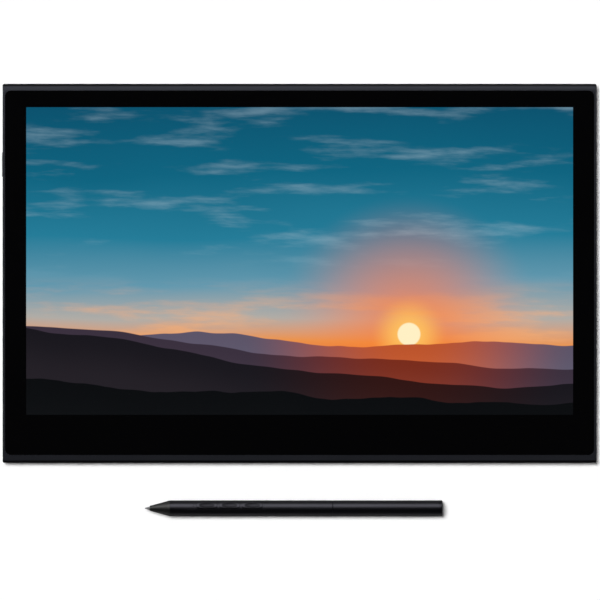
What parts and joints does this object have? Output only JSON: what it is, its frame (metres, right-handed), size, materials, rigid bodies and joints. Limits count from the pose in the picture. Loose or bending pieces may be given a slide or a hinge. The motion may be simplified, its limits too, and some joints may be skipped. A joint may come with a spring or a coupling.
{
  "type": "graphics tablet with screen",
  "caption": "Thin pen display with a flush black glass front and dark metal rim, side sockets, power button and rear hump, with its slim three-button pen.",
  "frame": {"origin": "middle of the floor covered by tablet and pen together, at desk height", "axes": "+X to the right along the screen's width, +Y to the screen's top edge, +Z out of the screen"},
  "size_m": [0.3185, 0.2318, 0.0088],
  "materials": {
    "cover_plastic": "fine-grained matt",
    "frame_metal": "bead-blasted, dark anodised",
    "plate_metal": "bare rolled sheet",
    "screen_glass": "anti-glare etched, black border, lit picture",
    "panel_glass": "smooth",
    "tape": "foam tape",
    "circuit_board": "solder-resist lacquer",
    "ribbon_film": "polyimide film",
    "chip_resin": "moulded resin",
    "bright_steel": "plated",
    "foot_rubber": "matt rubber",
    "pen_plastic": "soft-touch matt",
    "button_plastic": "satin moulded",
    "nib_plastic": "worn satin",
    "ferrite": "sintered",
    "copper_wire": "enamelled wire"
  },
  "bodies": {
    "tablet": {"rear_cover": "cover_plastic", "front_frame": "frame_metal", "support_plate": "plate_metal", "cover_glass": "screen_glass", "glass_tape": "tape", "display_panel": "panel_glass", "digitizer_board": "circuit_board", "digitizer_shield": "plate_metal", "digitizer_ribbon": "ribbon_film", "display_driver_board": "circuit_board", "panel_ribbons": "ribbon_film", "link_ribbon": "ribbon_film", "main_board": "circuit_board", "board_chips": "chip_resin", "shield_can": "bright_steel", "port_board": "circuit_board", "port_ribbon": "ribbon_film", "port_shell_left": "bright_steel", "port_tongue_left": "chip_resin", "port_shell_right": "bright_steel", "port_tongue_right": "chip_resin", "power_switch": "bright_steel", "upper_foot": "foot_rubber", "lower_foot": "foot_rubber", "cover_screws": "bright_steel", "board_screws": "bright_steel"},
    "power_button": {"power_button": "frame_metal", "power_plunger": "chip_resin"},
    "pen": {"nose_cone": "pen_plastic", "grip_barrel": "pen_plastic", "barrel_joiner": "chip_resin", "button_plate": "pen_plastic", "pen_chassis": "chip_resin", "pen_board": "circuit_board", "dome_switches": "bright_steel", "coil_core": "ferrite", "coil_winding": "copper_wire", "pressure_sensor": "bright_steel"},
    "nib": {"nib": "nib_plastic"},
    "side_button_front": {"side_button_front": "button_plastic"},
    "side_button_middle": {"side_button_middle": "button_plastic"},
    "side_button_rear": {"side_button_rear": "button_plastic"},
    "rear_barrel": {"rear_barrel": "pen_plastic", "tail_cap": "pen_plastic", "nib_holder": "chip_resin", "spare_nibs": "nib_plastic"}
  },
  "joints": [
    {"name": "power_button_press", "type": "slide", "parent": "tablet", "child": "power_button", "axis": [1, 0, 0], "range_m": [0, 0.00025], "stiffness_N_per_m": 2000},
    {"name": "pen_lift", "type": "slide", "parent": "tablet", "child": "pen", "axis": [0, 0, 1], "range_m": [0, 0.12]},
    {"name": "nib_press", "type": "slide", "parent": "pen", "child": "nib", "axis": [1, 0, 0], "range_m": [0, 0.00035], "stiffness_N_per_m": 2000},
    {"name": "side_button_front_press", "type": "slide", "parent": "pen", "child": "side_button_front", "axis": [0, -0.4067, -0.9135], "range_m": [0, 0.0003], "stiffness_N_per_m": 1500},
    {"name": "side_button_middle_press", "type": "slide", "parent": "pen", "child": "side_button_middle", "axis": [0, -0.4067, -0.9135], "range_m": [0, 0.0003], "stiffness_N_per_m": 1500},
    {"name": "side_button_rear_press", "type": "slide", "parent": "pen", "child": "side_button_rear", "axis": [0, -0.4067, -0.9135], "range_m": [0, 0.0003], "stiffness_N_per_m": 1500},
    {"name": "rear_barrel_pull", "type": "slide", "parent": "pen", "child": "rear_barrel", "axis": [1, 0, 0], "range_m": [0, 0.03]}
  ]
}
